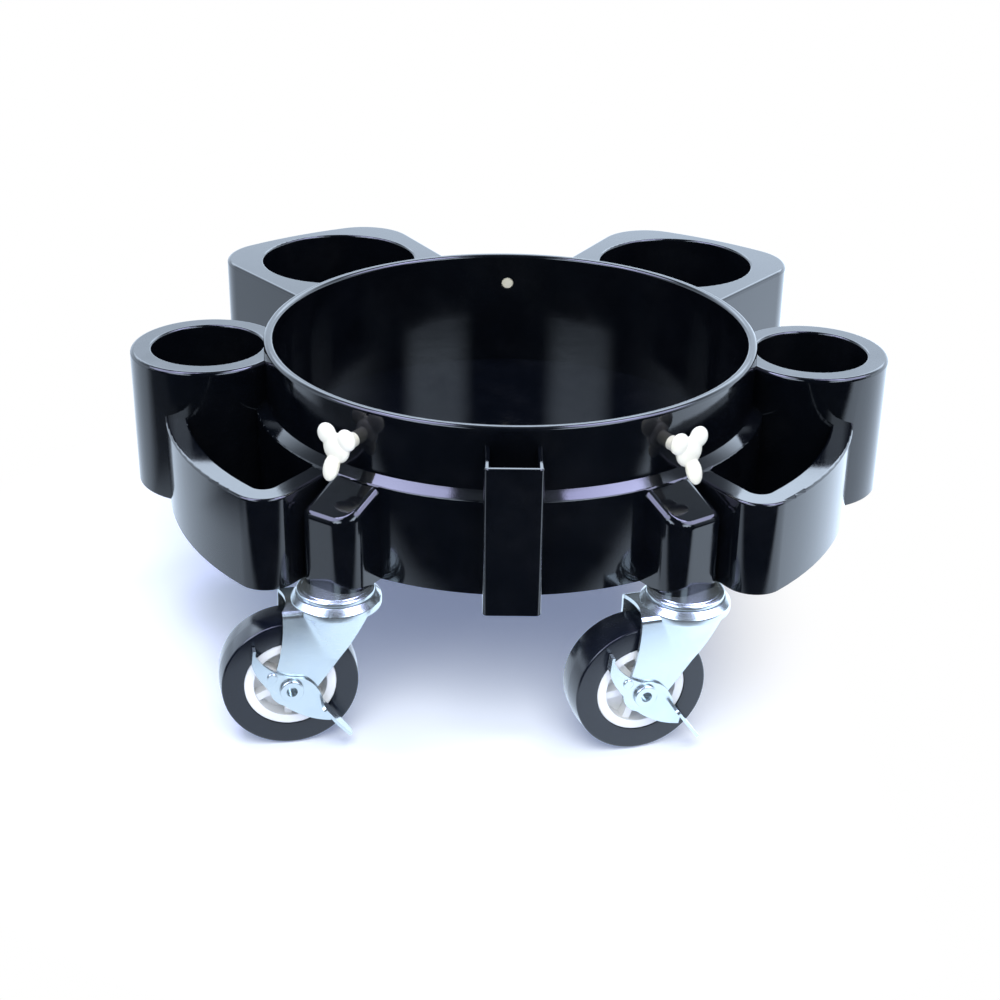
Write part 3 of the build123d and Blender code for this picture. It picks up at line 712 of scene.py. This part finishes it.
class Shape:
    """One mesh that is shaped with bmesh operators, in millimetres in its own frame."""

    def __init__(self) -> None:
        """Start with an empty mesh."""
        self.mesh = bmesh.new()

    def lathe(self, profile: Sequence[Vector], steps: int = 96) -> "Shape":
        """Spin a profile of radius and height about Z.

        Args:
            profile: points of the profile; a closed one ends where it starts.
            steps: spans round the axis.

        Returns:
            This shape.
        """
        points = [self.mesh.verts.new((point.x, 0.0, point.y)) for point in profile]
        edges = [self.mesh.edges.new(pair) for pair in zip(points, points[1:])]
        bmesh.ops.spin(
            self.mesh,
            geom=points + edges,
            cent=(0, 0, 0),
            axis=(0, 0, 1),
            angle=2 * math.pi,
            steps=steps,
            use_merge=True,
        )
        return self

    def sheet(self, columns: int, rows: int, place: Callable[[float, float], Vector]) -> "Shape":
        """Lay a grid on a surface.

        Args:
            columns: spans across.
            rows: spans along.
            place: point of the surface for a share across and a share along.

        Returns:
            This shape.
        """
        made = bmesh.ops.create_grid(self.mesh, x_segments=columns, y_segments=rows, size=0.5)
        for vert in made["verts"]:
            vert.co = place(vert.co.x + 0.5, vert.co.y + 0.5)
        return self

    def lump(self, lump: Lump) -> "Shape":
        """Add an ellipsoid.

        Args:
            lump: its place and size.

        Returns:
            This shape.
        """
        around, along = lump.spans
        bmesh.ops.create_uvsphere(
            self.mesh, u_segments=around, v_segments=along, radius=1.0, matrix=lump.frame()
        )
        return self

    def solid(self, node: str) -> "Shape":
        """Take a merged copy of a solid's mesh, which is in metres in the frame of the solids.

        Args:
            node: name of the solid.

        Returns:
            This shape.
        """
        self.mesh.from_mesh(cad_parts[node].data)
        bmesh.ops.scale(self.mesh, vec=(1 / MM, 1 / MM, 1 / MM), verts=self.mesh.verts)
        return self.weld()

    def weld(self, reach: float = 0.002) -> "Shape":
        """Merge points that meet.

        Args:
            reach: how far apart they may be.

        Returns:
            This shape.
        """
        bmesh.ops.remove_doubles(self.mesh, verts=self.mesh.verts, dist=reach)
        return self

    def even_out(self, largest: float, sliver: float = 0.05, blunt: float = 50.0) -> "Shape":
        """Turn edges between small faces so that rounded edges lie in regular strips.

        Args:
            largest: area above which a face keeps its edges.
            sliver: share of that area below which a face always gives its edges up.
            blunt: angle between faces, in degrees, above which other edges stay.

        Returns:
            This shape.
        """
        bmesh.ops.recalc_face_normals(self.mesh, faces=self.mesh.faces)
        loose = []
        for edge in self.mesh.edges:
            areas = [face.calc_area() for face in edge.link_faces]
            gentle = edge.calc_face_angle(0.0) < math.radians(blunt)
            if max(areas) < largest and (min(areas) < sliver * largest or gentle):
                loose.append(edge)
        bmesh.ops.beautify_fill(
            self.mesh,
            faces=self.mesh.faces[:],
            edges=loose,
            use_restrict_tag=False,
            method="ANGLE",
        )
        return self

    def lip(
        self,
        height: float,
        profiles: Sequence[Sequence[Vector]],
        snap: float = 0.02,
        reach: float = 1.0,
    ) -> "Shape":
        """Cut the shape off at a height and carry its two open edges up to a flat top.

        Args:
            height: where the lip starts.
            profiles: radius and height of the points of each edge, the open edge's own first.
            snap: how near to the cut a point counts as on it.
            reach: how near to a profile's start an open edge belongs to it.

        Returns:
            This shape.
        """
        bmesh.ops.bisect_plane(
            self.mesh,
            geom=self.mesh.verts[:] + self.mesh.edges[:] + self.mesh.faces[:],
            dist=snap,
            plane_co=(0, 0, height),
            plane_no=(0, 0, 1),
            clear_outer=True,
        )
        rest = [edge for edge in self.mesh.edges if edge.is_boundary]
        tops = []
        for start, *profile in profiles:
            loop = [edge for edge in rest if abs(edge.verts[0].co.xy.length - start.x) < reach]
            for point in profile:
                made = bmesh.ops.extrude_edge_only(self.mesh, edges=loop)["geom"]
                for vert in (item for item in made if isinstance(item, bmesh.types.BMVert)):
                    vert.co = (*(vert.co.xy.normalized() * point.x), point.y)
                loop = [item for item in made if isinstance(item, bmesh.types.BMEdge)]
            tops.extend(loop)
        bmesh.ops.bridge_loops(self.mesh, edges=tops)
        return self

    def flatten(self, degrees: float) -> "Shape":
        """Join faces that lie in one plane.

        Args:
            degrees: the angle within which they do.

        Returns:
            This shape.
        """
        bmesh.ops.dissolve_limit(
            self.mesh,
            angle_limit=math.radians(degrees),
            verts=self.mesh.verts[:],
            edges=self.mesh.edges[:],
        )
        return self

    def thicken(self, amount: float) -> "Shape":
        """Give a sheet its thickness, on the side that its faces look away from.

        Args:
            amount: the thickness.

        Returns:
            This shape.
        """
        bmesh.ops.recalc_face_normals(self.mesh, faces=self.mesh.faces)
        bmesh.ops.solidify(self.mesh, geom=self.mesh.faces[:], thickness=amount)
        return self

    def melt(self, voxel: float, passes: int) -> "Shape":
        """Melt overlapping lumps into one skin.

        Args:
            voxel: size of the skin's cells.
            passes: how often the skin is smoothed.

        Returns:
            This shape.
        """
        rough = bpy.data.objects.new("rough", bpy.data.meshes.new("rough"))
        self.mesh.to_mesh(rough.data)
        bpy.context.scene.collection.objects.link(rough)
        skin = rough.modifiers.new("skin", "REMESH")
        skin.voxel_size = voxel
        ease = rough.modifiers.new("ease", "SMOOTH")
        ease.iterations = passes
        graph = bpy.context.evaluated_depsgraph_get()
        done = bpy.data.meshes.new_from_object(rough.evaluated_get(graph))
        self.mesh.clear()
        self.mesh.from_mesh(done)
        bpy.data.objects.remove(rough)
        bpy.data.meshes.remove(done)
        return self

    def join(self, other: "Shape") -> "Shape":
        """Add another shape of the same frame.

        Args:
            other: the shape to add; it is used up.

        Returns:
            This shape.
        """
        part = bpy.data.meshes.new("part")
        other.mesh.to_mesh(part)
        other.mesh.free()
        self.mesh.from_mesh(part)
        bpy.data.meshes.remove(part)
        return self


class Workshop:
    """Fits finished shapes to the bodies that carry them, and dresses the solids that show."""

    def __init__(self, materials: Mapping[Slot, bpy.types.Material]) -> None:
        """Keep the finishes."""
        self.materials = materials

    def fit(
        self,
        shape: Shape,
        name: str,
        body: str,
        slot: Slot,
        nodes: Sequence[str],
        at: Matrix | None = None,
        crease: float = 35.0,
    ) -> bpy.types.Object:
        """Turn a shape into a piece in place of one or more solids.

        Args:
            shape: the shape; it is used up.
            name: name of the piece.
            body: the body that it rides on.
            slot: its finish.
            nodes: the solids that it stands for.
            at: frame of the shape, in millimetres in the frame of the solids.
            crease: angle above which an edge stays sharp, in degrees.

        Returns:
            The piece.
        """
        place = Matrix.Scale(MM, 4) @ (at or Matrix.Identity(4))
        bmesh.ops.transform(shape.mesh, matrix=place, verts=shape.mesh.verts)
        bmesh.ops.recalc_face_normals(shape.mesh, faces=shape.mesh.faces)
        for face in shape.mesh.faces:
            face.smooth = True
        for edge in shape.mesh.edges:
            edge.smooth = edge.calc_face_angle(0.0) < math.radians(crease)
        mesh = bpy.data.meshes.new(name)
        shape.mesh.to_mesh(mesh)
        shape.mesh.free()
        mesh.materials.append(self.materials[slot])
        piece = bpy.data.objects.new(name, mesh)
        bpy.context.scene.collection.objects.link(piece)
        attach(piece, body)
        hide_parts(*nodes)
        LOG.info("%s: %d faces on %s", name, len(mesh.polygons), body)
        return piece

    def dress_rest(self) -> None:
        """Give every solid that still shows its finish."""
        for name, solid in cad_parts.items():
            found = (slot for start, slot in NODE_SLOTS.items() if name.startswith(start))
            solid.material_slots[0].material = self.materials[next(found, Slot.ZINC)]


@dataclass(frozen=True)
class Moulding:
    """The black moulding of ring, trays, cups, socket and bosses, with its rim turned afresh."""

    bore_r: float = 137.0
    rim_r: float = 142.5
    rim_start: float = 69.8
    rim_top: float = 72.0
    rim_round: float = 2.199
    rim_spans: int = 8
    small_face: float = 6.0
    flat_within: float = 0.15
    crease: float = 32.0

    def _rim(self, radius: float, side: float) -> list[Vector]:
        """Arc from one side of the rim to its top.

        Args:
            radius: radius of that side.
            side: 1 where the top lies further out, -1 where it lies further in.

        Returns:
            Radius and height of the points.
        """
        top_r = radius + side * (self.rim_top - self.rim_start)
        outline = (
            (radius, self.rim_start, 0.0),
            (radius, self.rim_top, self.rim_round),
            (top_r, self.rim_top, 0.0),
        )
        return rounded(outline, self.rim_spans)[1:-1]

    def build(self, shop: Workshop) -> None:
        """Make and fit the moulding.

        Args:
            shop: where it is fitted.
        """
        shape = Shape().solid("body_moulding").even_out(self.small_face).flatten(self.flat_within)
        shape.lip(self.rim_start, (self._rim(self.bore_r, 1.0), self._rim(self.rim_r, -1.0)))
        nodes = ["body_moulding"]
        piece = shop.fit(shape, "moulding", "trolley", Slot.BODY, nodes, crease=self.crease)
        even = piece.modifiers.new("even_normals", "WEIGHTED_NORMAL")
        even.mode = "FACE_AREA_WITH_ANGLE"
        even.keep_sharp = True


@dataclass(frozen=True)
class ForkForm:
    """Sheet-metal fork of a caster: a folded plate whose legs are drawn out to a round crown."""

    half: float = 15.5
    sheet: float = 2.2
    fold: float = 3.0
    top: float = -6.7
    back: float = -30.0
    front: float = 17.0
    back_sag: float = 2.6
    front_bulge: float = 1.9
    plate_sag: float = 3.0
    axle: tuple[float, float] = (-27.0, -52.5)
    end_r: float = 11.5
    end_gap: float = 0.02
    tangent: tuple[float, float] = (-17.4, -58.8)
    drawn_r: float = 23.4
    drawn_top: float = -8.9
    drawn_h: float = 27.6
    ease: float = 0.9
    ease_share: float = 0.12
    columns: int = 48
    rows: int = 200
    crown: tuple[Corner, ...] = (
        (5.1, -5.4, 0.0),
        (18.3, -5.4, 0.4),
        (18.3, -3.3, 0.7),
        (21.3, -3.3, 1.5),
        (24.5, -6.7, 1.5),
        (24.5, -10.4, 0.6),
        (22.1, -10.4, 0.5),
        (22.1, -8.9, 0.0),
        (5.1, -8.9, 0.0),
    )

    @staticmethod
    def _bow(height: float, share: float) -> float:
        """Height of a shallow bow at a share of its length."""
        return 4 * height * share * (1 - share)

    def _span(self, z: float) -> tuple[float, float]:
        """Back and front edge of a leg at a height.

        Args:
            z: the height.

        Returns:
            Both places along the rolling direction.
        """
        axle_x, axle_z = self.axle
        low_x, low_z = self.tangent
        round_half = math.sqrt(max(self.end_r**2 - (z - axle_z) ** 2, 0.0))
        share = (self.top - z) / (self.top - axle_z)
        back = self.back + (axle_x - self.end_r - self.back) * share
        back += self._bow(self.back_sag, share)
        run = (self.top - z) / (self.top - low_z)
        front = self.front + (low_x - self.front) * run + self._bow(self.front_bulge, run)
        return (
            axle_x - round_half if share > 1.0 else back,
            axle_x + round_half if run > 1.0 else front,
        )

    def _reach(self, x: float, z: float) -> float:
        """How far out from the middle a leg stands, eased where its drawn part meets the flat.

        Args:
            x: place along the rolling direction.
            z: the height.

        Returns:
            The distance.
        """
        drop = min(max((self.drawn_top - z) / self.drawn_h, 0.0), 1.0)
        radius = self.drawn_r + (self.half - self.drawn_r) * drop
        drawn = math.sqrt(max(radius**2 - x**2, 0.0)) - self.half
        eased = (drawn + math.sqrt(drawn**2 + self.ease**2)) / 2
        return self.half + eased - self.ease_share * self.ease

    def place(self, across: float, along: float) -> Vector:
        """Point of the fork's outside.

        Args:
            across: share from the back edge to the front edge.
            along: share from the end of one leg, over the plate, to the end of the other.

        Returns:
            The point.
        """
        foot = self.axle[1] - self.end_r + self.end_gap
        leg = self.top - self.fold - foot
        bend = self.fold * math.pi / 2
        flat = 2 * (self.half - self.fold)
        side = 1.0 if along > 0.5 else -1.0
        way = min(along, 1.0 - along) * (2 * leg + 2 * bend + flat)
        if way < leg:
            z = foot + way
            back, front = self._span(z)
            x = back + (front - back) * across
            return Vector((x, side * self._reach(x, z), z))
        turn = min((way - leg) / bend, 1.0) * math.pi / 2
        y = self.half - self.fold + self.fold * math.cos(turn) - max(way - leg - bend, 0.0)
        z = self.top - self.fold + self.fold * math.sin(turn)
        back, front = self._span(z)
        back += self.plate_sag * max(1.0 - (y / (self.half - self.sheet)) ** 2, 0.0)
        x = back + (front - back) * across
        return Vector((x, side * (y + (self._reach(x, z) - self.half) * math.cos(turn)), z))

    def shape(self) -> Shape:
        """The whole fork.

        Returns:
            Its shape.
        """
        plate = Shape().sheet(self.columns, self.rows, self.place).weld().thicken(self.sheet)
        return plate.join(Shape().lathe(rounded(self.crown)))


@dataclass(frozen=True)
class Caster:
    """One swivel caster: where it stands and how it has turned, in degrees, and its forms."""

    name: str
    azimuth: float
    heading: float
    braked: bool = False
    out: float = 167.0
    top: float = -21.5
    trail: float = 27.0
    drop: float = 52.5
    cap: tuple[Corner, ...] = (
        (5.0, 0.0, 0.0),
        (18.0, 0.0, 0.5),
        (18.7, -0.5, 0.5),
        (19.5, -0.15, 0.6),
        (21.0, -0.9, 0.9),
        (21.0, -3.0, 0.3),
        (17.5, -3.0, 0.0),
    )
    fork: ForkForm = ForkForm()
    fork_crease: float = 28.0
    tyre: tuple[Corner, ...] = (
        (25.0, 11.3, 0.0),
        (27.0, 11.5, 0.6),
        (36.7, 11.5, 1.1),
        (37.5, 0.5, 0.0),
        (37.5, -0.5, 0.0),
        (36.7, -11.5, 1.1),
        (27.0, -11.5, 0.6),
        (25.0, -11.3, 0.0),
    )
    tyre_spans: int = 160
    tyre_crease: float = 30.0
    lever_round: float = 0.4
    lever_round_spans: int = 3
    lever_crease: float = 50.0

    def swivel(self) -> Matrix:
        """Frame on the swivel axis under the boss, with X along the rolling direction.

        Returns:
            The frame.
        """
        angle = math.radians(self.azimuth)
        foot = (math.sin(angle) * self.out, -math.cos(angle) * self.out, self.top)
        return Matrix.Translation(foot) @ Matrix.Rotation(math.radians(self.heading), 4, "Z")

    def axle(self) -> Matrix:
        """Frame at the wheel's centre, with Z along the axle towards the lever side.

        Returns:
            The frame.
        """
        centre = Matrix.Translation((-self.trail, 0.0, -self.drop))
        return self.swivel() @ centre @ Matrix.Rotation(math.pi / 2, 4, "X")

    def build(self, shop: Workshop) -> None:
        """Make and fit the raceway cap, fork, tyre and lever.

        Args:
            shop: where they are fitted.
        """
        name = self.name
        cap = Shape().lathe(rounded(self.cap))
        nodes = [f"raceway_cap_{name}"]
        shop.fit(cap, f"cap_{name}", "trolley", Slot.ZINC, nodes, self.swivel())
        body, nodes = f"swivel_{name}", [f"fork_{name}"]
        fork = self.fork.shape()
        shop.fit(fork, f"bracket_{name}", body, Slot.ZINC, nodes, self.swivel(), self.fork_crease)
        body, nodes = f"wheel_{name}", [f"tyre_{name}"]
        tyre = Shape().lathe(rounded(self.tyre), self.tyre_spans)
        shop.fit(tyre, f"tread_{name}", body, Slot.TYRE, nodes, self.axle(), self.tyre_crease)
        if self.braked:
            self._lever(shop)

    def _lever(self, shop: Workshop) -> None:
        """Make and fit the brake lever, with softened edges.

        Args:
            shop: where it is fitted.
        """
        node = f"brake_lever_{self.name}"
        body = f"brake_{self.name}"
        lever = shop.fit(Shape().solid(node), f"lever_{self.name}", body, Slot.ZINC, [node])
        edge = lever.modifiers.new("soft_edge", "BEVEL")
        edge.width = self.lever_round * MM
        edge.segments = self.lever_round_spans
        edge.limit_method = "ANGLE"
        edge.angle_limit = math.radians(self.lever_crease)


@dataclass(frozen=True)
class Thumbscrew:
    """One thumbscrew through the ring: its azimuth and turn, in degrees, and its forms."""

    name: str
    azimuth: float
    turn: float
    height: float = 52.8
    lobes: tuple[Lump, ...] = (
        Lump(156.4, 0.0, (8.5, 8.5, 3.6)),
        Lump(154.2, 0.0, (7.0, 7.0, 3.4)),
        Lump(156.5, 9.2, (5.8, 6.0, 3.2), 44.0),
        Lump(156.5, 9.2, (5.8, 6.0, 3.2), 136.0),
        Lump(156.3, 10.6, (7.6, 4.9, 3.0), 270.0, 22.0),
    )
    skin_cell: float = 0.35
    skin_passes: int = 6
    shank: tuple[Corner, ...] = (
        (0.0, 137.5, 0.0),
        (3.4, 137.5, 0.4),
        (4.0, 138.4, 0.3),
        (4.0, 152.0, 0.0),
    )
    shank_spans: int = 48
    crease: float = 60.0

    def frame(self) -> Matrix:
        """Frame on the ring's axis, with Z out along the screw and Y up.

        Returns:
            The frame.
        """
        angle = math.radians(self.azimuth)
        out = Vector((math.sin(angle), -math.cos(angle), 0.0))
        along = Vector((math.cos(angle), math.sin(angle), 0.0))
        axes = Matrix((along, Vector((0.0, 0.0, 1.0)), out)).transposed().to_4x4()
        turn = Matrix.Rotation(math.radians(self.turn), 4, "Z")
        return Matrix.Translation((0.0, 0.0, self.height)) @ axes @ turn

    def build(self, shop: Workshop) -> None:
        """Make and fit the screw: three lobes on a collar, and the shank.

        Args:
            shop: where it is fitted.
        """
        head = Shape()
        for lobe in self.lobes:
            head.lump(lobe)
        head.melt(self.skin_cell, self.skin_passes)
        head.join(Shape().lathe(rounded(self.shank), self.shank_spans))
        body, nodes = f"screw_{self.name}", [f"thumbscrew_{self.name}"]
        piece = f"winged_{self.name}"
        shop.fit(head, piece, body, Slot.SCREW, nodes, self.frame(), self.crease)


CASTERS = (
    Caster("front_left", -34.0, 11.2, braked=True),
    Caster("front_right", 34.0, 16.5, braked=True),
    Caster("side_left", -108.0, 188.0),
    Caster("side_right", 108.0, 20.0),
    Caster("rear", 180.0, 13.0),
)
THUMBSCREWS = (
    Thumbscrew("front_left", -36.0, -3.0),
    Thumbscrew("front_right", 36.0, 4.0),
    Thumbscrew("rear", 180.0, 0.0),
)


def main() -> None:
    """Build the scene."""
    logging.basicConfig(level=logging.INFO, format="%(name)s: %(message)s")
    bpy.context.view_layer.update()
    kit = EffectKit()
    shop = Workshop({finish.slot: finish.build(kit) for finish in FINISHES})
    Studio().build()
    shop.dress_rest()
    Moulding().build(shop)
    for caster in CASTERS:
        caster.build(shop)
    for screw in THUMBSCREWS:
        screw.build(shop)


if __name__ == "__main__":
    main()
